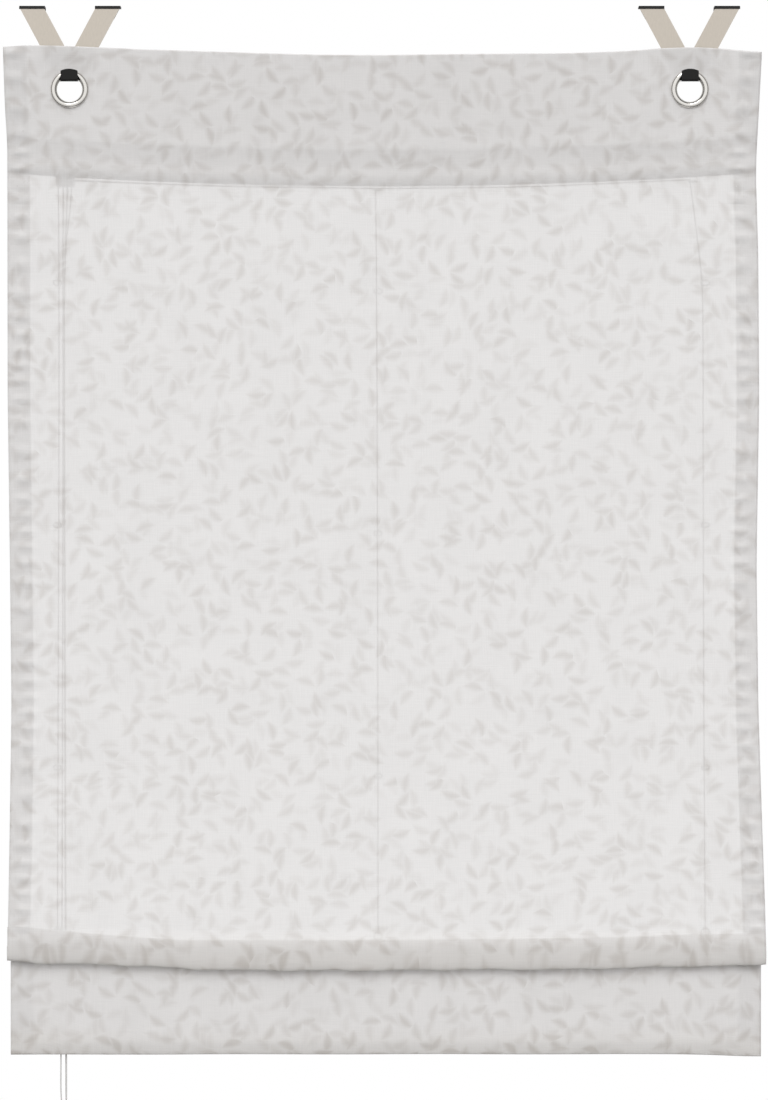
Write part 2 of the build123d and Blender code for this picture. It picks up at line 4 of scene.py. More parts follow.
import bmesh
import bpy
import numpy as np
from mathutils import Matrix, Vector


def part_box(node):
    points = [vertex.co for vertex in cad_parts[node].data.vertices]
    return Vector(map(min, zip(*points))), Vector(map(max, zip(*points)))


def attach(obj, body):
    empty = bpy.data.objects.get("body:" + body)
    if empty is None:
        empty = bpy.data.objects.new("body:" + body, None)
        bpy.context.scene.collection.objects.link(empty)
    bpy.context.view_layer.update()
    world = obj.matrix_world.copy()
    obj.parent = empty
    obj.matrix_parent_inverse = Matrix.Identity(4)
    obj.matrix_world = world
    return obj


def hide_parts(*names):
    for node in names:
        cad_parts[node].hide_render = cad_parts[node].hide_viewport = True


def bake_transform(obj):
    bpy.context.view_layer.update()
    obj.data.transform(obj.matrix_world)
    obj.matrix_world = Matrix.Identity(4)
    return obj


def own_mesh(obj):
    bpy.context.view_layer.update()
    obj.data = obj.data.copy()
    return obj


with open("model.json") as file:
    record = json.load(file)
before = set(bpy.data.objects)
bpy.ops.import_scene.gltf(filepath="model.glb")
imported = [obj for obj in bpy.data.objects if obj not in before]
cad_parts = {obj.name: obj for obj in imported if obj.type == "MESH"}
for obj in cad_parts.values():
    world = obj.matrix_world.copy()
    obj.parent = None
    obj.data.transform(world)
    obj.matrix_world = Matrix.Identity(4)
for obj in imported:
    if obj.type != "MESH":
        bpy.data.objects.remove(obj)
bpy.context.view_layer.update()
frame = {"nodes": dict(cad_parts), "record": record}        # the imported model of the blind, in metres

mm = 0.001

# Camera and studio
studio = {
    "distance": 5.5,          # metres from the cloth
    "lookZ": -0.7211,         # height of the picture's middle
    "viewHeight": 1.4602,     # what the picture shows at the cloth, top to bottom
    "filmHeight": 36.0,       # mm
    "floorZ": -2.5,           # below the cord weight when the blind is drawn up
    "floorRadius": 0.8,
    "floorShades": ("#F2F2F1", "#F7F7F6"),
    "skyLight": 1.08,         # soft light from above and from the sides
    "groundLight": 0.2,       # and from below
    "horizon": 0.5,           # height of a way, up and down, over which one turns into the other
    "mirrorSide": 0.15,       # what shiny things mirror from the sides, next to 1 from front and back
    "sideToFront": (0.25, 0.85),
    "mirrorLow": 0.45,        # share of that which comes from below
    "lowToLevel": (-0.7, -0.05),
    "sunStrength": 1.04,
    "sunAngle": 34.0,         # degrees across, so its shadows are soft
    "sunFrom": (-0.25, -0.8, 1.05),
}


def makeCamera():
    # lens over film height is distance over view height
    data = bpy.data.cameras.new("frontCamera")
    data.sensor_fit = "VERTICAL"
    data.sensor_height = studio["filmHeight"]
    data.lens = studio["filmHeight"] * studio["distance"] / studio["viewHeight"]
    camera = bpy.data.objects.new("frontCamera", data)
    camera.location = (0, -studio["distance"], studio["lookZ"])
    camera.rotation_euler = (math.pi / 2, 0, 0)
    bpy.context.scene.collection.objects.link(camera)
    bpy.context.scene.camera = camera


makeCamera()
bpy.context.scene.view_settings.view_transform = "Standard"
print("stage: camera")


# Mesh helpers
def buildMesh(name, place, uv, flip=False, closed=False, holes=()):
    # a grid of places, rows by columns: each cell between four neighbours is a face with its own UV,
    # left out where its middle lies inside a hole (x, z, radius)
    rows, cols = place.shape[:2]
    index = np.arange(rows * cols).reshape(rows, cols)
    faces = np.stack([index[:-1, :-1], index[1:, :-1], index[1:, 1:], index[:-1, 1:]], -1).reshape(-1, 4)
    corners = np.stack([uv[:-1, :-1], uv[1:, :-1], uv[1:, 1:], uv[:-1, 1:]], -2).reshape(-1, 4, 2)
    points = place.reshape(-1, 3)
    for x, z, radius in holes:
        middle = points[faces].mean(1)
        outside = np.hypot(middle[:, 0] - x, middle[:, 2] - z) >= radius
        faces, corners = faces[outside], corners[outside]
    used, faces = np.unique(faces, return_inverse=True)
    points, faces = points[used], faces.reshape(-1, 4)
    if flip:
        faces, corners = faces[:, ::-1], corners[:, ::-1]
    mesh = bpy.data.meshes.new(name)
    mesh.vertices.add(len(points))
    mesh.vertices.foreach_set("co", points.astype(np.float32).ravel())
    mesh.loops.add(faces.size)
    mesh.loops.foreach_set("vertex_index", faces.astype(np.int32).ravel())
    mesh.polygons.add(len(faces))
    mesh.polygons.foreach_set("loop_start", np.arange(0, faces.size, 4, dtype=np.int32))
    mesh.uv_layers.new(name="cloth")
    mesh.uv_layers["cloth"].data.foreach_set("uv", corners.astype(np.float32).ravel())
    mesh.update(calc_edges=True)
    if closed:
        weldMesh(mesh)
    mesh.polygons.foreach_set("use_smooth", np.ones(len(mesh.polygons), dtype=bool))
    piece = bpy.data.objects.new(name, mesh)
    bpy.context.scene.collection.objects.link(piece)
    return piece


def weldMesh(mesh):
    # joins the seams of closed shapes, then turns their faces outwards
    work = bmesh.new()
    work.from_mesh(mesh)
    bmesh.ops.remove_doubles(work, verts=work.verts, dist=1e-6)
    bmesh.ops.recalc_face_normals(work, faces=work.faces)
    work.to_mesh(mesh)
    work.free()


def smoothStep(value, low, high):
    # 3 s squared minus 2 s cubed, s running from 0 at low to 1 at high
    share = np.clip((value - low) / (high - low), 0, 1)
    return share * share * (3 - 2 * share)


def unit(vectors):
    # each divided by its own length
    return vectors / np.linalg.norm(vectors, axis=-1, keepdims=True)


def tubeGrid(path, radius, sides=10):
    # a circle carried along a path, square to the path's direction; both ends run in to a point
    tangent = unit(np.gradient(path, axis=0))
    across = unit(np.cross(tangent, np.array([0.0, 1.0, 0.0])))
    up = np.cross(across, tangent)
    angle = np.linspace(0, 2 * np.pi, sides + 1)
    ring = across[:, None] * np.cos(angle)[None, :, None] + up[:, None] * np.sin(angle)[None, :, None]
    place = path[:, None] + radius * ring
    along = np.concatenate([[0], np.cumsum(np.linalg.norm(np.diff(path, axis=0), axis=1))])
    place = np.concatenate([path[:1, None] + 0 * place[:1], place, path[-1:, None] + 0 * place[-1:]])
    along = np.concatenate([along[:1], along, along[-1:]])
    uv = np.stack(np.broadcast_arrays(angle[None] * radius, along[:, None]), -1)
    return place, uv


# Materials
def toLinear(code):
    # sRGB hex to the linear values that shaders take
    values = [int(code[i:i + 2], 16) / 255 for i in (1, 3, 5)]
    return tuple(v / 12.92 if v <= 0.04045 else ((v + 0.055) / 1.055) ** 2.4 for v in values) + (1.0,)


def addNode(tree, kind, settings=None, links=None):
    # a setting goes to the node's property of that name, or else to the socket of that name or number
    node = tree.nodes.new(kind)
    for key, value in (settings or {}).items():
        if isinstance(key, str) and hasattr(node, key):
            setattr(node, key, value)
        else:
            node.inputs[key].default_value = value
    for key, socket in (links or {}).items():
        tree.links.new(socket, node.inputs[key])
    return node


def newMaterial(name):
    material = bpy.data.materials.new(name)
    material.use_nodes = True
    material.node_tree.nodes.clear()
    return material, material.node_tree


# Printed polyester voile, plain woven from fine thread: matt, it scatters most light and lets a little
# sight through, so that doubled cloth looks darker and the cords behind it show as faint lines.
voile = {
    "ground": "#F1EFEE",
    "leaf": "#DEDAD7",
    "cell": 34.0,             # mm between printed leaves in one scatter
    "leafLength": 13.0,       # half of a leaf, mm
    "leafWidth": 5.4,         # half of its widest part, mm
    "leafBend": 0.5,          # how far a leaf curves
    "leafEdge": 1.75,         # where its soft edge ends
    "faintest": 0.25,         # strength of the faintest leaf
    "scatters": 3,            # of leaves, one over another
    "shift": (5.37, 3.61),    # cells from one scatter to the next
    "turn": (0.4, 0.9),       # radians: the first scatter's, and from each to the next
    "loose": 0.85,            # how far leaves stray from even rows
    "paintedShadeGround": "#EAE7E4",  # painted shade where the cloth lies in several layers at the fold and foot: greyer and warmer
    "paintedShadeLeaf": "#D6D1CC",
    "paintedShadePrint": 1.3,         # and its print darker, painted shade as well
    "foldBand": (-1.305, 0.08, 0.04),    # m down the cloth: that painted shade's middle, where it ends and is full
    "hemBand": (-1.497, 0.045, 0.01),
    "clear": 0.16,            # share of sight that passes the cloth
    "through": 0.03,          # share of scattered light that goes through
    "threadSpacing": 1.6,     # mm; real threads are 0.3 mm apart, drawn coarse enough to show
    "slubLength": 30.0,       # mm
    "blotch": 60.0,           # mm, size of the faint uneven patches
    "shade": (0.97, 1.02),    # what slubs and patches do to the colour
    "threadHeight": 0.4,      # mm
    "shader": {"Roughness": 0.85, "Specular IOR Level": 0.2, "Sheen Weight": 0.05},
}


def leafScatter(tree, uv, number):
    # one leaf per Voronoi cell, turned at random: one minus x squared minus |y|, y bent by x squared
    size = 1 / (voile["cell"] * mm)
    shift = (voile["shift"][0] * number, voile["shift"][1] * number, 0)
    place = addNode(tree, "ShaderNodeMapping",
                    {"Location": shift, "Rotation": (0, 0, voile["turn"][0] + voile["turn"][1] * number),
                     "Scale": (size, size, size)}, {"Vector": uv})
    cell = addNode(tree, "ShaderNodeTexVoronoi",
                   {"voronoi_dimensions": "2D", "Scale": 1.0, "Randomness": voile["loose"]},
                   {"Vector": place.outputs[0]})
    local = addNode(tree, "ShaderNodeVectorMath", {"operation": "SUBTRACT"},
                    {0: place.outputs[0], 1: cell.outputs["Position"]})
    chance = addNode(tree, "ShaderNodeSeparateColor", {}, {0: cell.outputs["Color"]})
    angle = addNode(tree, "ShaderNodeMath", {"operation": "MULTIPLY", 1: 2 * math.pi}, {0: chance.outputs[0]})
    turned = addNode(tree, "ShaderNodeVectorRotate", {"rotation_type": "Z_AXIS"},
                     {"Vector": local.outputs[0], "Angle": angle.outputs[0]})
    stretch = (voile["cell"] / voile["leafLength"], voile["cell"] / voile["leafWidth"], 0)
    scaled = addNode(tree, "ShaderNodeVectorMath", {"operation": "MULTIPLY", 1: stretch}, {0: turned.outputs[0]})
    part = addNode(tree, "ShaderNodeSeparateXYZ", {}, {0: scaled.outputs[0]})
    square = addNode(tree, "ShaderNodeMath", {"operation": "MULTIPLY"}, {0: part.outputs[0], 1: part.outputs[0]})
    bend = {"operation": "MULTIPLY_ADD", 1: voile["leafBend"], 2: -0.3 * voile["leafBend"]}
    bent = addNode(tree, "ShaderNodeMath", bend, {0: square.outputs[0]})
    offset = addNode(tree, "ShaderNodeMath", {"operation": "SUBTRACT"}, {0: part.outputs[1], 1: bent.outputs[0]})
    level = addNode(tree, "ShaderNodeMath", {"operation": "ABSOLUTE"}, {0: offset.outputs[0]})
    total = addNode(tree, "ShaderNodeMath", {"operation": "ADD"}, {0: square.outputs[0], 1: level.outputs[0]})
    shape = addNode(tree, "ShaderNodeMapRange",
                    {"interpolation_type": "SMOOTHSTEP", "From Min": voile["leafEdge"], "From Max": 0.0},
                    {"Value": total.outputs[0]})
    strength = addNode(tree, "ShaderNodeMapRange", {"To Min": voile["faintest"], "To Max": 1.0},
                       {"Value": chance.outputs[1]})
    return addNode(tree, "ShaderNodeMath", {"operation": "MULTIPLY"},
                   {0: shape.outputs[0], 1: strength.outputs[0]}).outputs[0]


def paintedShadeMask(tree, uv):
    # mask of the painted shade: one near the fold and near the hem's foot, falling to none with distance down the
    # cloth
    down = addNode(tree, "ShaderNodeSeparateXYZ", {}, {0: uv}).outputs[1]
    bands = []
    for middle, none, full in (voile["foldBand"], voile["hemBand"]):
        off = addNode(tree, "ShaderNodeMath", {"operation": "SUBTRACT", 1: middle}, {0: down})
        away = addNode(tree, "ShaderNodeMath", {"operation": "ABSOLUTE"}, {0: off.outputs[0]})
        bands.append(addNode(tree, "ShaderNodeMapRange", {"From Min": none, "From Max": full},
                             {"Value": away.outputs[0]}).outputs[0])
    return addNode(tree, "ShaderNodeMath", {"operation": "MAXIMUM"}, {0: bands[0], 1: bands[1]}).outputs[0]


def makeVoile():
    # colour is the print over the ground, with painted shade near the fold and foot, times slubs and patches; the
    # shader is cloth mixed with clear
    material, tree = newMaterial("printed polyester voile, woven")
    uv = addNode(tree, "ShaderNodeUVMap", {"uv_map": "cloth"}).outputs[0]
    leaves = leafScatter(tree, uv, 0)
    for number in range(1, voile["scatters"]):
        other = leafScatter(tree, uv, number)
        leaves = addNode(tree, "ShaderNodeMath", {"operation": "MAXIMUM"}, {0: leaves, 1: other}).outputs[0]
    # slubs: threads a little thicker over some length, both ways of the cloth
    slub, thread = voile["slubLength"] * mm, voile["threadSpacing"] * mm
    bumps = []
    for long, wide in ((slub, thread), (thread, slub)):
        scaled = addNode(tree, "ShaderNodeVectorMath", {"operation": "MULTIPLY", 1: (1 / long, 1 / wide, 0)},
                         {0: uv})
        bumps.append(addNode(tree, "ShaderNodeTexNoise",
                             {"noise_dimensions": "2D", "Scale": 1.0, "Detail": 3.0},
                             {"Vector": scaled.outputs[0]}).outputs[0])
    weave = addNode(tree, "ShaderNodeMath", {"operation": "ADD"}, {0: bumps[0], 1: bumps[1]}).outputs[0]
    patch = addNode(tree, "ShaderNodeTexNoise",
                    {"noise_dimensions": "2D", "Scale": 1 / (voile["blotch"] * mm), "Detail": 2.0},
                    {"Vector": uv}).outputs[0]
    uneven = addNode(tree, "ShaderNodeMath", {"operation": "ADD"}, {0: weave, 1: patch}).outputs[0]
    shade = addNode(tree, "ShaderNodeMapRange",
                    {"From Min": 1.1, "From Max": 1.9, "To Min": voile["shade"][0], "To Max": voile["shade"][1]},
                    {"Value": uneven})
    clean = addNode(tree, "ShaderNodeMix",
                    {"data_type": "RGBA", 6: toLinear(voile["ground"]), 7: toLinear(voile["leaf"])}, {0: leaves})
    # painted shade: a greyer, warmer ground and darker print near the fold and the foot
    stronger = addNode(tree, "ShaderNodeMath", {"operation": "MULTIPLY", 1: voile["paintedShadePrint"]}, {0: leaves})
    paintedShadeColour = addNode(tree, "ShaderNodeMix",
                      {"data_type": "RGBA", 6: toLinear(voile["paintedShadeGround"]), 7: toLinear(voile["paintedShadeLeaf"])},
                      {0: stronger.outputs[0]})
    colour = addNode(tree, "ShaderNodeMix", {"data_type": "RGBA"},
                     {0: paintedShadeMask(tree, uv), 6: clean.outputs[2], 7: paintedShadeColour.outputs[2]})
    shaded = addNode(tree, "ShaderNodeMix", {"data_type": "RGBA", "blend_type": "MULTIPLY", 0: 1.0},
                     {6: colour.outputs[2], 7: shade.outputs[0]}).outputs[2]
    bump = addNode(tree, "ShaderNodeBump", {"Strength": 0.25, "Distance": voile["threadHeight"] * mm},
                   {"Height": weave}).outputs[0]
    front = addNode(tree, "ShaderNodeBsdfPrincipled", voile["shader"], {"Base Color": shaded, "Normal": bump})
    back = addNode(tree, "ShaderNodeBsdfTranslucent", {}, {"Color": shaded, "Normal": bump})
    woven = addNode(tree, "ShaderNodeMixShader", {0: voile["through"]}, {1: front.outputs[0], 2: back.outputs[0]})
    gaps = addNode(tree, "ShaderNodeBsdfTransparent")
    mixed = addNode(tree, "ShaderNodeMixShader", {0: voile["clear"]}, {1: woven.outputs[0], 2: gaps.outputs[0]})
    addNode(tree, "ShaderNodeOutputMaterial", {}, {"Surface": mixed.outputs[0]})
    return material


# Finishes with a plain colour: grain is the size of their unevenness in mm, spread what it does to the
# colour, depth its height in mm, and stretch its way (a small number draws it out along that axis)
plain = {
    # satin plating over bent sheet: it mirrors light broadly, as an even warm grey with faint drawn streaks
    "satin_nickel": {"name": "nickel plated steel, satin", "colour": "#CAC2B7", "grain": 1.6, "spread": 0.10,
                     "depth": 0.02, "stretch": (1, 1, 0.25), "shader": {"Metallic": 1.0, "Roughness": 0.42}},
    # pressed and polished: bright where the dome faces front, dark lines at its steep edges
    "eyelet_nickel": {"name": "nickel plated brass, polished", "colour": "#E6E3DE", "grain": 2.5,
                      "spread": 0.05, "depth": 0.01, "stretch": (1, 1, 1),
                      "shader": {"Metallic": 1.0, "Roughness": 0.22}},
    # soft moulded skin: nearly black, with only a dull gleam
    "black_rubber": {"name": "black rubber, moulded", "colour": "#141312", "grain": 0.5, "spread": 0.15,
                     "depth": 0.03, "stretch": (1, 1, 1),
                     "shader": {"Roughness": 0.6, "Specular IOR Level": 0.35}},
    # pulled through rollers: grey with fine lines along its length
    "aluminium_bar": {"name": "aluminium, mill finish", "colour": "#C4C5C6", "grain": 1.0, "spread": 0.05,
                      "depth": 0.02, "stretch": (0.05, 1, 1), "shader": {"Metallic": 1.0, "Roughness": 0.38}},
    # resin over straight fibres: off-white, half matt, streaked lengthways
    "glass_fibre_rod": {"name": "glass fibre rod, drawn", "colour": "#E3E0D6", "grain": 0.8, "spread": 0.05,
                        "depth": 0.02, "stretch": (0.05, 1, 1), "shader": {"Roughness": 0.45}},
    # smooth from its mould and milky, with small clear highlights
    "clear_ring": {"name": "polyamide, moulded milky", "colour": "#DAD9D6", "grain": 1.0, "spread": 0.02,
                   "depth": 0.01, "stretch": (1, 1, 1),
                   "shader": {"Roughness": 0.3, "Specular IOR Level": 0.5}},
    # strands pulled tight in a knot: matt and lumpy
    "white_cord": {"name": "braided polyester, knotted", "colour": "#D6D4D2", "grain": 0.4, "spread": 0.12,
                   "depth": 0.12, "stretch": (1, 1, 1), "shader": {"Roughness": 0.75}},
    # injection moulded: even white with a mild gloss
    "white_plastic": {"name": "ABS, moulded white", "colour": "#E6E5E3", "grain": 0.9, "spread": 0.02,
                      "depth": 0.01, "stretch": (1, 1, 1), "shader": {"Roughness": 0.32}},
}


def makePlain(finish):
    # noise of the grain's size moves the colour by its spread, the roughness by a fifth, and the height
    material, tree = newMaterial(finish["name"])
    place = addNode(tree, "ShaderNodeTexCoord").outputs["Object"]
    scaled = addNode(tree, "ShaderNodeMapping", {"Scale": finish["stretch"]}, {"Vector": place})
    noise = addNode(tree, "ShaderNodeTexNoise", {"Scale": 1 / (finish["grain"] * mm), "Detail": 4.0},
                    {"Vector": scaled.outputs[0]})
    base, spread = toLinear(finish["colour"])[:3], finish["spread"]
    dark = tuple(c * (1 - spread) for c in base) + (1.0,)
    light = tuple(min(1, c * (1 + spread)) for c in base) + (1.0,)
    tone = addNode(tree, "ShaderNodeMix", {"data_type": "RGBA", 6: dark, 7: light}, {0: noise.outputs[0]})
    rough = finish["shader"]["Roughness"]
    roughness = addNode(tree, "ShaderNodeMapRange", {"To Min": rough * 0.8, "To Max": min(1, rough * 1.2)},
                        {"Value": noise.outputs[0]})
    bump = addNode(tree, "ShaderNodeBump", {"Strength": 0.4, "Distance": finish["depth"] * mm},
                   {"Height": noise.outputs[0]})
    shader = addNode(tree, "ShaderNodeBsdfPrincipled", finish["shader"],
                     {"Base Color": tone.outputs[2], "Normal": bump.outputs[0], "Roughness": roughness.outputs[0]})
    addNode(tree, "ShaderNodeOutputMaterial", {}, {"Surface": shader.outputs[0]})
    return material


# Braided polyester: matt, light where a strand comes up; grey painted shade in the grooves between strands
braid = {
    # painted shade: the grey of the grooves
    "grooveShade": "#B9B6B4",
    "strand": "#E2E0DE",
    "lean": 0.7,         # radians that the strands wind off the cord's line
    "waves": 0.35,       # strands per mm
    "height": 0.15,      # mm
}


def makeCordFinish():
    # two sets of strands wound against each other, read from the cord's own UV: the higher one shows, and the grooves
    # between get painted shade
    material, tree = newMaterial("braided polyester cord")
    uv = addNode(tree, "ShaderNodeUVMap", {"uv_map": "cloth"}).outputs[0]
    waves = []
    for way in (1, -1):
        turned = addNode(tree, "ShaderNodeVectorRotate", {"rotation_type": "Z_AXIS", "Angle": braid["lean"] * way},
                         {"Vector": uv})
        wave = addNode(tree, "ShaderNodeTexWave", {"Scale": braid["waves"] / mm, "bands_direction": "X"},
                       {"Vector": turned.outputs[0]})
        waves.append(wave.outputs[1])
    higher = addNode(tree, "ShaderNodeMath", {"operation": "MAXIMUM"}, {0: waves[0], 1: waves[1]}).outputs[0]
    tone = addNode(tree, "ShaderNodeMix",
                   {"data_type": "RGBA", 6: toLinear(braid["grooveShade"]), 7: toLinear(braid["strand"])}, {0: higher})
    bump = addNode(tree, "ShaderNodeBump", {"Strength": 0.5, "Distance": braid["height"] * mm},
                   {"Height": higher})
    shader = addNode(tree, "ShaderNodeBsdfPrincipled", {"Roughness": 0.7, "Specular IOR Level": 0.3},
                     {"Base Color": tone.outputs[2], "Normal": bump.outputs[0]})
    addNode(tree, "ShaderNodeOutputMaterial", {}, {"Surface": shader.outputs[0]})
    return material


finishes = {"voile": makeVoile()}
finishes.update({slot: makePlain(finish) for slot, finish in plain.items()})
cordFinish = makeCordFinish()
slots = {part["node"]: part["material_slot"] for part in frame["record"]["subparts"]}
for nodeName, node in frame["nodes"].items():
    node.data.materials.clear()
    node.data.materials.append(finishes[slots[nodeName]])
print("stage: materials")


# The cloth, in mm: what header, panel and hem share
cloth = {
    "half": 500.0,              # half of its width
    "foldHalf": 503.0,          # and at the fold
    "layer": 0.5,               # depth from layer to layer where two lie together
    "sideHem": 30.0,            # width of the hems turned in at the sides
    "hemInsets": (1.0, 0.83, 0.66, 0.5, 0.33, 0.16, 0.05, 0.0),   # columns across such a hem
    "turnGap": 0.17,            # how far a turned-in hem lies behind the face
    "step": 4.0,                # between rows and columns of the mesh
    "sideCut": 0.072,           # m, what both side hems take of the flat cloth
    "panelTopZ": -262.0,
}

# How the cloth hangs: its edges and folds waver by a few millimetres, read off the photograph
hung = {
    "left": ((-1262, -500.8), (-1240, -499.5), (-1100, -497.0), (-930, -494.5), (-740, -496.5), (-520, -499.5),
             (-180, -500.0), (-140, -503.0), (-56, -506.0)),
    "right": ((-1262, 507.5), (-1200, 506.0), (-1100, 502.5), (-930, 497.0), (-740, 494.5), (-520, 498.0),
              (-330, 496.8), (-215, 493.4), (-140, 497.5), (-56, 502.0)),
    "top": ((-506, -53.5), (-470, -51.0), (-430, -51.5), (-380, -53.5), (-324, -56.0), (-244, -58.7),
            (-165, -61.3), (-85, -63.6), (0, -64.0), (88, -62.8), (247, -61.3), (327, -58.5), (367, -54.8),
            (410, -53.5), (450, -55.5), (480, -59.0), (502, -60.0)),
    "fold": ((-500, -1266.0), (-470, -1269.0), (-430, -1270.5), (-377, -1271.5), (-324, -1273.5),
             (-244, -1278.0), (-165, -1279.3), (0, -1279.3), (88, -1278.3), (247, -1277.8), (327, -1275.4),
             (393, -1274.0), (480, -1273.0), (505, -1270.0)),
    "crest": ((-500, -1222.0), (-457, -1226.0), (-397, -1232.2), (-337, -1236.5), (-277, -1241.0),
              (-100, -1241.0), (50, -1240.5), (200, -1239.0), (320, -1237.0), (380, -1234.0), (505, -1232.0)),
    "foot": ((-496, -1392.4), (-240, -1392.0), (0, -1391.8), (390, -1391.8), (430, -1392.4), (475, -1394.2),
             (501, -1394.6)),
}


def follow(x, line, spread=12.0):
    # straight lines between measured places, averaged over five places within the spread
    places, values = zip(*line)
    return sum(np.interp(x + shift * spread, places, values) for shift in (-1, -0.5, 0, 0.5, 1)) / 5


def sideLine(name, z):
    # the cloth's left or right edge at a height
    return follow(z, hung[name], 20.0)


def topEdge(x):
    # the height of the cloth's upper edge
    return follow(x, hung["top"])


# Ripples: long soft waves over all of the cloth; lengths and heights in mm
ripples = {"count": 14, "height": 0.55, "lift": 1.2, "shortest": 90.0, "longest": 420.0, "seed": 7,
           "ringReach": 30.0, "eyeletReach": 60.0}
draw = np.random.default_rng(ripples["seed"])
rippleWaves = [
    (1 / draw.uniform(ripples["shortest"], ripples["longest"]), draw.uniform(-0.35, 0.35), draw.uniform(0, 6.28))
    for _ in range(ripples["count"])
]
ringColumns = ((-434.0, 0.0), (-8.0, -11.0), (427.0, 0.0))   # place across, and how far its rings sit lower
ringHeights = (-366.0, -688.0, -1010.0)
ringPlaces = [(x, z + lower) for x, lower in ringColumns for z in ringHeights]
eyeletPlaces = [(-417.5, -109.4), (406.0, -109.4)]


def ripple(x, z):
    # a sum of sines of place across and down, always towards the room, fading to none at rings and eyelets
    total = 0
    for pitch, lean, phase in rippleWaves:
        total = total + np.sin(2 * np.pi * pitch * (x + lean * z) + phase)
    height = ripples["height"] * (0.5 * total / np.sqrt(ripples["count"]) + ripples["lift"])
    for px, pz in ringPlaces:
        height = height * (1 - np.exp(-((x - px) ** 2 + (z - pz) ** 2) / ripples["ringReach"] ** 2))
    for px, pz in eyeletPlaces:
        height = height * (1 - smoothStep(ripples["eyeletReach"] - np.hypot(x - px, z - pz), 0, 30))
    return -height


pucker = {"height": 0.6, "reach": 10.0, "pitch": 2.1, "drift": 2.0, "driftPitch": 23.0, "slowPitch": 3.7}


def puckers(x, z, seamZ, height):
    # short waves that a seam draws into the cloth: two sines along it, fading with distance from it
    near = np.exp(-np.abs(z - seamZ) / pucker["reach"])
    quick = np.sin(x / pucker["pitch"] + pucker["drift"] * np.sin(x / pucker["driftPitch"]))
    slow = 0.6 * np.sin(x / pucker["slowPitch"] + 1.3)
    return -height * near * ((quick + slow) * 0.5 + 0.8)


def sideColumns():
    # columns across the cloth: hem turned in at the left, the face, hem turned in at the right
    inset = np.array(cloth["hemInsets"]) * cloth["sideHem"]
    face = np.linspace(-1, 1, int(2 * cloth["foldHalf"] / cloth["step"]) + 1)
    share = np.concatenate([-np.ones(len(inset)), face, np.ones(len(inset))])
    insets = np.concatenate([inset, 0 * face, inset[::-1]])
    turned = np.concatenate([np.ones(len(inset)), 0 * face, np.ones(len(inset))])
    return share, insets, turned


def clothSheet(name, rows, flip, holes=()):
    # each row turns x into depth, height, left and right side, place along the cloth and side of the hem;
    # the columns spread evenly between its sides, and those of a side hem come back inwards behind them
    share, inset, turned = sideColumns()
    rough = share * cloth["half"] - np.sign(share) * inset
    points, uvs = [], []
    for row in rows:
        depth, height, left, right, along, side = row(rough)
        middle, half = (left + right) / 2, (right - left) / 2
        x = middle + share * half - np.sign(share) * inset
        y = depth + turned * cloth["turnGap"] * side
        points.append(np.stack(np.broadcast_arrays(x, y, height), -1))
        uvs.append(np.stack(np.broadcast_arrays(share * half + np.sign(share) * inset, along), -1))
    return buildMesh(name, np.array(points) * mm, np.array(uvs) * mm, flip=flip, holes=holes)


# Creases in the side hems, where the doubled cloth draws together
crease = {"height": 1.8, "reach": 17.0, "pitch": 4.3, "drift": 3.0, "driftPitch": 37.0, "edge": 0.3,
          "edgeReach": 5.0}


def panelFront(x, z):
    # the front layer's depth, one rule for header, panel and fold so that they meet: the ripples, a raised
    # line at each side hem's inner edge, and short sines down the hem
    y = ripple(x, z)
    for side, way in (("left", 1), ("right", -1)):
        inner = sideLine(side, z) + way * cloth["sideHem"]
        near = np.exp(-((x - inner) / crease["edgeReach"]) ** 2)
        across = np.clip(1 - np.abs(x - inner * 1.025) / crease["reach"], 0, 1)
        wave = np.sin(z / crease["pitch"] + crease["drift"] * np.sin(z / crease["driftPitch"]))
        y = y - crease["edge"] * near - crease["height"] * across * np.clip(wave, 0, 1)
    return y


# Header: doubled cloth with the rod's pocket; its seams sag with the rod
header = {
    "half": 495.0,
    "flatHeight": 0.40,          # m, its two layers, the pocket and the seam allowance
    "pocketTopZ": -189.5,
    "pocketLowZ": -232.5,
    "seamLowZ": -238.5,          # foot of the seam allowance
    "rodZ": -226.5,
    "rodSagRadius": 7215.0,      # the rod bends along a circle this large
    "bulge": 6.6,                # how far the back layer goes out round the rod
    "rodSwell": 0.9,             # and the front layer
    "rodReach": 9.0,
    "eyeletHole": 19.7,          # the cloth ends here, under the eyelets' flanges
}


def sag(x):
    # x squared over twice the radius, close to a circle's rise
    return x * x / (2 * header["rodSagRadius"])


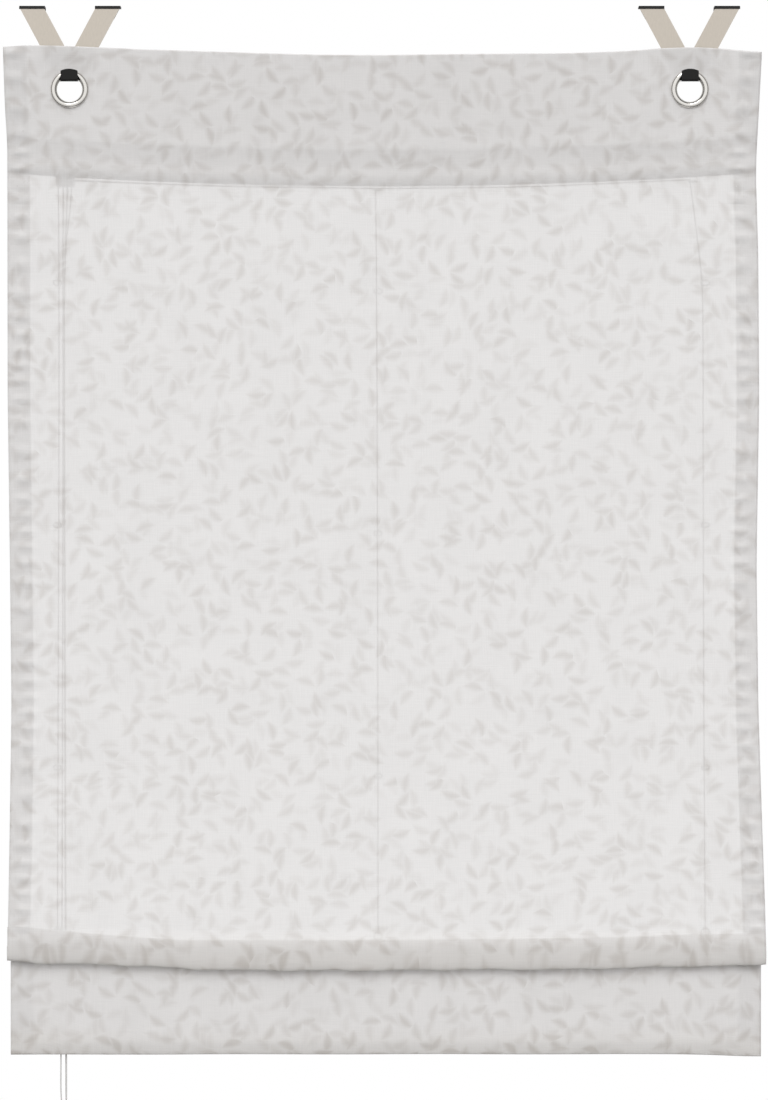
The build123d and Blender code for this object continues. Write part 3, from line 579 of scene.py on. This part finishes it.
def headerRows():
    # up the front layer, over the top edge, down the back round the rod, and up again as seam allowance
    h = header

    def row(side, start, end, share):
        def place(x):
            z = start(x) + (end(x) - start(x)) * share
            rise = sag(x)
            y = panelFront(x, z)
            if side == "back":
                # a swell that grows down to the rod and closes at the lower seam
                down = (h["pocketTopZ"] - z + rise) / (h["pocketTopZ"] - h["pocketLowZ"])
                swell = np.clip(down / 0.8, 0, 1) ** 1.2 * (1 - smoothStep(down, 0.9, 1.0))
                y = cloth["layer"] + h["bulge"] * swell + y * (1 - 0.8 * (swell > 0))
            elif side == "inner":
                y = y + cloth["layer"] / 2
            else:
                y = y - h["rodSwell"] * np.exp(-((z - rise - h["rodZ"]) / h["rodReach"]) ** 2)
            if side != "back":
                flat = smoothStep(z, cloth["panelTopZ"], cloth["panelTopZ"] + 12)
                for seam in (h["pocketTopZ"], h["pocketLowZ"]):
                    y = y + puckers(x, z, seam + rise, pucker["height"]) * flat
            along = {"front": z, "back": 2 * topEdge(x) - z, "inner": z + 3 * topEdge(x)}[side]
            return y, z, sideLine("left", z), sideLine("right", z), along, -1 if side == "back" else 1
        return place

    def level(value):
        return lambda x: value + sag(x)

    def straight(x):
        return cloth["panelTopZ"] + 0 * x

    seam, low, top = level(h["seamLowZ"]), level(h["pocketLowZ"]), level(h["pocketTopZ"])
    plan = (("front", straight, seam, 6), ("front", seam, low, 2), ("front", low, top, 14),
            ("front", top, topEdge, 32), ("back", topEdge, top, 32), ("back", top, low, 16),
            ("back", low, seam, 2), ("inner", seam, top, 12))
    rows = []
    for side, start, end, count in plan:
        shares = np.linspace(0, 1, count, endpoint=False)
        if end is topEdge:
            shares = 1 - (1 - shares) ** 1.5   # closer rows towards the top edge
        elif start is topEdge:
            shares = shares ** 1.5
        rows += [row(side, start, end, share) for share in shares]
    rows.append(row("inner", seam, top, 1.0))
    return rows


def makeHeader():
    # all layers in one sheet, with the eyelets' holes left out
    holes = [(x * mm, z * mm, header["eyeletHole"] * mm) for x, z in eyeletPlaces]
    piece = clothSheet("clothHeader", headerRows(), flip=True, holes=holes)
    piece.data.materials.append(finishes["voile"])
    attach(piece, "root")
    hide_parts("header")


def makePanel():
    # one layer from the pocket to the panel node's foot, riding the root
    top, foot = cloth["panelTopZ"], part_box("panel")[0].z / mm
    count = int((top - foot) / cloth["step"]) + 1

    def row(share):
        def place(x):
            z = foot + (top - foot) * share + 0 * x
            return panelFront(x, z), z, sideLine("left", z), sideLine("right", z), z, 1
        return place

    piece = clothSheet("clothPanel", [row(share) for share in np.linspace(0, 1, count)], flip=True)
    piece.data.materials.append(finishes["voile"])
    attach(piece, "root")
    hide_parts("panel")
    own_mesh(piece)


# Hem: the fold that hangs over it, the hem itself and the bar's pocket
hem = {
    "half": 498.5,
    "flatHeight": 0.41,       # m, both sides of the fold, the hem and its back layer
    "foldSideZ": -1262.0,     # height at which the fold's sides are read
    "left": -496.3,           # the hem's own sides
    "right": 501.2,
    "forward": 2.4,           # how far the fold stands out
    "curl": 18.0,             # height over which it turns under
    "foldDepth": 5.0,         # depth of the fold's back
    "depth": 9.0,             # of the hem's face
    "lowZ": -1392.0,
    "barPocket": 19.0,        # its height
    "barPocketY": 13.1,       # and the depth of its back
    "barSwell": 0.4,          # how far the bar pushes the face out
    "barSwellHeight": 24.0,
    "pucker": 0.15,           # height of the puckers at the pocket's seam
    "footTurn": 2.0,          # height over which the face turns to the back
    "turned": (26.0, 15.0, 6.0),   # cloth taken by the fold's turn, its back and each small turn
}


def hemRows():
    # down the fold's face, half an ellipse under, up its back, half an ellipse over, down the hem,
    # half an ellipse under the bar and up the back; along keeps the print running over every turn
    c = hem
    turn, back, small = c["turned"]
    left, right = sideLine("left", c["foldSideZ"]), sideLine("right", c["foldSideZ"])
    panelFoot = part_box("panel")[0].z / mm
    seamZ = c["lowZ"] + c["barPocket"]

    def fold(x):
        waver = 0.7 * np.sin(x / 17.0) + 0.5 * np.sin(x / 7.3 + 1.0) * np.sin(x / 61.0)
        return follow(x, hung["fold"]) + waver

    def crest(x):
        return follow(x, hung["crest"])

    def bottom(x):
        return follow(x, hung["foot"]) + 0.2 * np.sin(x / 41.0)

    def frontRow(share):
        def place(x):
            z = panelFoot + (fold(x) + c["curl"] - panelFoot) * share
            y = panelFront(x, z) * (1 - share) - c["forward"] * smoothStep(share, 0.0, 0.8)
            return y, z, sideLine("left", z), sideLine("right", z), z, 1
        return place

    def curlRow(share):
        def place(x):
            middle = (c["foldDepth"] - c["forward"]) / 2
            y = middle - (middle + c["forward"]) * np.cos(np.pi * share)
            z = fold(x) + c["curl"] - c["curl"] * np.sin(np.pi * share)
            return y, z, left, right, fold(x) + c["curl"] - turn * share, 1
        return place

    def innerRow(share):
        def place(x):
            z = fold(x) + c["curl"] + (crest(x) - fold(x) - c["curl"]) * share
            return c["foldDepth"] + 0 * x, z, left, right, 2 * fold(x) - back - z, 1
        return place

    def crestRow(share):
        def place(x):
            half = (c["depth"] - c["foldDepth"]) / 2
            y = c["foldDepth"] + half - half * np.cos(np.pi * share) + 0 * x
            z = crest(x) + half * np.sin(np.pi * share) * 0.8
            along = 2 * fold(x) - crest(x) - back - small * share
            return y, z, left + (c["left"] - left) * share, right + (c["right"] - right) * share, along, 1
        return place

    def panelRow(share):
        def place(x):
            z = crest(x) + (bottom(x) + c["footTurn"] - crest(x)) * share
            y = c["depth"] - 0.5 * np.abs(np.sin(x / 160.0 + z / 90.0)) * np.sin(np.pi * share)
            up = np.clip((z - bottom(x) - c["footTurn"]) / c["barSwellHeight"], 0, 1)
            y = y - c["barSwell"] * np.sin(np.pi * up ** 0.7) + puckers(x, z, seamZ, c["pucker"])
            return y, z, c["left"], c["right"], 2 * fold(x) - 2 * crest(x) - back - small + z, 1
        return place

    def turnRow(share):
        def place(x):
            half = (c["barPocketY"] - c["depth"]) / 2
            y = c["depth"] + half - half * np.cos(np.pi * share) + 0 * x
            z = bottom(x) + c["footTurn"] - c["footTurn"] * np.sin(np.pi * share)
            along = 2 * fold(x) - 2 * crest(x) - back - small + bottom(x) - small * share
            return y, z, c["left"], c["right"], along, 1
        return place

    def backRow(share):
        def place(x):
            start = bottom(x) + c["footTurn"]
            z = start + (crest(x) - 4 - start) * share
            over = smoothStep(z, seamZ - 2, seamZ + 2)
            y = c["barPocketY"] + (c["depth"] + cloth["layer"] - c["barPocketY"]) * over
            along = 2 * fold(x) - 2 * crest(x) - back - 2 * small + 2 * bottom(x) - z
            return y, z, c["left"], c["right"], along, -1
        return place

    plan = ((frontRow, 12), (curlRow, 12), (innerRow, 7), (crestRow, 6), (panelRow, 38), (turnRow, 6),
            (backRow, 40))
    rows = []
    for maker, count in plan:
        rows += [maker(share) for share in np.linspace(0, 1, count, endpoint=False)]
    rows.append(backRow(1.0))
    return rows


def makeHem():
    # one sheet over all its turns, which rises with the bar
    piece = clothSheet("clothHem", hemRows(), flip=False)
    piece.data.materials.append(finishes["voile"])
    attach(piece, "bottom")
    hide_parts("hem")


makeHeader()
makePanel()
makeHem()
print("stage: cloth")


# Eyelets: domed pressed ring, its barrel rolled out over the washer behind
eyelet = {
    "sides": 96,
    # radius and depth in mm, once round the section: dome, throat, barrel, roll, then back inside
    "section": ((25.1, -0.3), (25.1, -0.7), (24.85, -1.4), (24.1, -2.2), (23.0, -2.85), (21.6, -3.2), (20.1, -3.1),
                (19.0, -2.5), (18.2, -1.6), (17.5, -0.6), (17.0, 0.4), (16.65, 1.4), (16.6, 2.3), (16.8, 2.9),
                (17.4, 3.15), (19.4, 3.15), (20.2, 2.95), (20.4, 2.75), (20.2, 2.45), (19.4, 2.35), (17.9, 2.3),
                (17.45, 1.9), (17.45, 0.2), (17.9, -0.4), (18.8, -1.3), (19.6, -2.0), (20.5, -2.4), (21.4, -2.4),
                (22.6, -2.1), (23.5, -1.5), (24.1, -0.8), (24.3, -0.3), (25.1, -0.3)),
}


def makeEyelets():
    # the section turned once round the eyelet's axis
    radius, depth = np.array(eyelet["section"]).T
    turn = np.linspace(0, 2 * np.pi, eyelet["sides"] + 1)
    for side, (px, pz) in zip(("left", "right"), eyeletPlaces):
        x = px + radius[:, None] * np.cos(turn)
        z = pz + radius[:, None] * np.sin(turn)
        place = np.stack([x, depth[:, None] + 0 * x, z], -1) * mm
        piece = buildMesh(f"eyeletRing_{side}", place, place[..., ::2], closed=True)
        piece.data.materials.append(finishes["eyelet_nickel"])
        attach(piece, "root")
        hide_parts(f"eyelet_front_{side}")


makeEyelets()
print("stage: eyelets")


# Cords, in mm: the routes of the CAD tubes, as smooth curves
cord = {
    "radius": 0.9,
    # pull cords: where each leaves the guide, then across and depth near its top, behind the crest and low down
    "guideLow": -238.0,
    "exitRise": 3.9,          # the cords start this far up in the guide
    "exitY": 16.05,
    "exits": (-427.0, -421.5, -416.0),
    "near": ((-427.2, 15.2), (-425.4, 17.2), (-426.2, 19.3)),
    "behind": ((-428.4, 15.2), (-423.4, 16.6), (-424.4, 18.8)),
    "below": ((-430.2, 15.6), (-422.8, 16.6), (-423.6, 18.6)),
    "weightX": -422.6,
    "weightSpread": 1.3,      # the cords stand round the weight's axis at this distance
    "weightTurns": (205, 90, 335),
    # heights: straight under the guide, gathered, still so, behind the crest, below the hem, there still,
    # spread over the weight, in the weight
    "levels": (-256.0, -330.0, -560.0, -1241.5, -1404.0, -1456.0, -1486.0, -1522.8),
    "blendZ": -1470.0,        # a height just above the weight, mm
    # lift cords: below the guide to the column's ring places; each ends at its CAD node's foot
    "drops": {
        "left": ((-434.0, 7.0), ((-433.4, 7.0, -1010.0), (-431.4, 7.2, -366.0), (-433.0, 7.0, -234.1))),
        "middle": ((-8.0, 7.0), ((-8.4, 7.2, -377.0), (-11.3, 7.0, -243.0))),
        "right": ((427.0, 7.0), ((425.2, 7.0, -1010.0), (424.4, 7.1, -700.0), (424.1, 7.2, -400.0),
                                 (422.0, 7.1, -345.0), (406.7, 7.0, -231.4))),
    },
    # and from the top of a drop along the pocket's foot to the guide
    "runs": {
        "middle": ((-11.3, 7.0, -243.0), (-11.3, 7.0, -240.8), (-13.5, 7.0, -240.8), (-110.0, 7.2, -238.9),
                   (-210.0, 7.3, -237.8), (-330.0, 6.9, -233.3), (-415.9, 6.5, -230.0)),
        "right": ((406.7, 7.0, -231.4), (406.7, 7.0, -229.1), (404.5, 7.0, -229.1), (300.0, 8.0, -233.7),
                  (200.0, 9.0, -238.3), (100.0, 10.2, -239.4), (-4.0, 11.2, -240.5), (-110.0, 10.9, -239.0),
                  (-215.0, 10.6, -237.5), (-320.0, 10.55, -233.8), (-415.9, 10.5, -230.0)),
    },
}


def curvePath(name, route, resolution):
    # the line of a NURBS curve whose control points are the route's
    data = bpy.data.curves.new(name + "Line", "CURVE")
    data.dimensions = "3D"
    spline = data.splines.new("NURBS")
    spline.points.add(len(route) - 1)
    for point, place in zip(spline.points, route):
        point.co = (place[0] * mm, place[1] * mm, place[2] * mm, 1)
    spline.order_u = 3
    spline.use_endpoint_u = True
    spline.resolution_u = resolution
    carrier = bpy.data.objects.new(name + "Line", data)
    mesh = bpy.data.meshes.new_from_object(carrier)
    path = np.zeros(len(mesh.vertices) * 3)
    mesh.vertices.foreach_get("co", path)
    bpy.data.objects.remove(carrier)
    bpy.data.meshes.remove(mesh)
    bpy.data.curves.remove(data)
    return path.reshape(-1, 3)


def cordMesh(name, route, resolution):
    # a round tube along the route's smooth line
    path = curvePath(name, route, resolution)
    piece = buildMesh(name, *tubeGrid(path, cord["radius"] * mm), closed=True)
    piece.data.materials.append(cordFinish)
    return piece, path


def pullRoutes():
    # straight out of the guide past the stop knots, then together behind the cloth, down to the weight
    routes = []
    for number, angle in enumerate(cord["weightTurns"]):
        top, turn = (cord["exits"][number], cord["exitY"]), math.radians(angle)
        near, behind, low = cord["near"][number], cord["behind"][number], cord["below"][number]
        inside = (cord["weightX"] + cord["weightSpread"] * math.cos(turn),
                  cord["exitY"] + cord["weightSpread"] * math.sin(turn))
        places = (top, near, near, behind, low, low, inside, inside)
        first = (*top, cord["guideLow"] + cord["exitRise"])
        routes.append([first] + [(x, y, z) for (x, y), z in zip(places, cord["levels"])])
    return routes


def makePullCords():
    # held at the guide, one tube along each route
    for number, route in enumerate(pullRoutes()):
        piece, path = cordMesh(f"pullCord{number + 1}", route, 24)
        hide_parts(f"pull_cord_{number + 1}")
        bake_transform(piece)


def makeLiftCords():
    # each drop from its CAD node's foot upwards, and each run along the pocket, ride the root
    for side, (foot, rest) in cord["drops"].items():
        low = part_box(f"lift_cord_{side}")[0].z / mm
        piece, path = cordMesh(f"liftDrop{side.title()}", [(foot[0], foot[1], low), *rest], 40)
        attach(piece, "root")
        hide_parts(f"lift_cord_{side}")
        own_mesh(piece)
    for side, route in cord["runs"].items():
        piece, path = cordMesh(f"liftRun{side.title()}", route, 12)
        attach(piece, "root")


makePullCords()
makeLiftCords()
print("stage: cords")


# Studio: white to the eye, softer light on the object
def makeWorld():
    # as light, brighter from above than from below; to shiny things, dark from the sides and from below
    world = bpy.data.worlds.new("softStudio")
    bpy.context.scene.world = world
    world.use_nodes = True
    tree = world.node_tree
    tree.nodes.clear()
    path = addNode(tree, "ShaderNodeLightPath").outputs
    way = addNode(tree, "ShaderNodeTexCoord").outputs["Generated"]
    part = addNode(tree, "ShaderNodeSeparateXYZ", {}, {0: way}).outputs
    soft = addNode(tree, "ShaderNodeMapRange",
                   {"interpolation_type": "SMOOTHSTEP", "From Min": -studio["horizon"], "From Max": studio["horizon"],
                    "To Min": studio["groundLight"], "To Max": studio["skyLight"]}, {"Value": part[2]}).outputs[0]
    facing = addNode(tree, "ShaderNodeMath", {"operation": "ABSOLUTE"}, {0: part[1]}).outputs[0]
    start, end = studio["sideToFront"]
    sides = addNode(tree, "ShaderNodeMapRange",
                    {"interpolation_type": "SMOOTHSTEP", "From Min": start, "From Max": end,
                     "To Min": studio["mirrorSide"], "To Max": 1.0}, {"Value": facing}).outputs[0]
    start, end = studio["lowToLevel"]
    lower = addNode(tree, "ShaderNodeMapRange",
                    {"From Min": start, "From Max": end, "To Min": studio["mirrorLow"], "To Max": 1.0},
                    {"Value": part[2]}).outputs[0]
    gloss = addNode(tree, "ShaderNodeMath", {"operation": "MULTIPLY"}, {0: sides, 1: lower}).outputs[0]
    seen = addNode(tree, "ShaderNodeMath", {"operation": "MAXIMUM"},
                   {0: path["Is Camera Ray"], 1: path["Is Transmission Ray"]}).outputs[0]
    shiny = addNode(tree, "ShaderNodeMix", {}, {0: path["Is Glossy Ray"], 2: soft, 3: gloss}).outputs[0]
    strength = addNode(tree, "ShaderNodeMix", {3: 1.0}, {0: seen, 2: shiny}).outputs[0]
    light = addNode(tree, "ShaderNodeBackground", {"Color": (1, 1, 1, 1)}, {"Strength": strength})
    addNode(tree, "ShaderNodeOutputWorld", {}, {"Surface": light.outputs[0]})


def makeSun():
    # one broad soft light from the front and above, even from top to bottom
    data = bpy.data.lights.new("softSun", "SUN")
    data.energy = studio["sunStrength"]
    data.angle = math.radians(studio["sunAngle"])
    sun = bpy.data.objects.new("softSun", data)
    x, y, z = studio["sunFrom"]
    sun.rotation_euler = (math.atan2(math.hypot(x, y), z), 0, math.atan2(x, -y))
    bpy.context.scene.collection.objects.link(sun)


def makeFloor():
    # a pale round floor far under the blind: rings from its middle out
    rows, turn = np.linspace(0, 1, 12), np.linspace(0, 2 * np.pi, 65)
    radius = rows[:, None] * studio["floorRadius"]
    x, y = radius * np.cos(turn)[None], radius * np.sin(turn)[None]
    place = np.stack([x, y, np.full_like(x, studio["floorZ"])], -1)
    floor = buildMesh("paleFloor", place, place[..., :2], closed=True)
    material, tree = newMaterial("painted floor, matt white")
    noise = addNode(tree, "ShaderNodeTexNoise", {"Scale": 40.0})
    dark, light = studio["floorShades"]
    tone = addNode(tree, "ShaderNodeMix", {"data_type": "RGBA", 6: toLinear(dark), 7: toLinear(light)},
                   {0: noise.outputs[0]})
    shader = addNode(tree, "ShaderNodeBsdfPrincipled", {"Roughness": 0.8}, {"Base Color": tone.outputs[2]})
    addNode(tree, "ShaderNodeOutputMaterial", {}, {"Surface": shader.outputs[0]})
    floor.data.materials.append(material)


makeWorld()
makeSun()
makeFloor()
print("stage: studio")
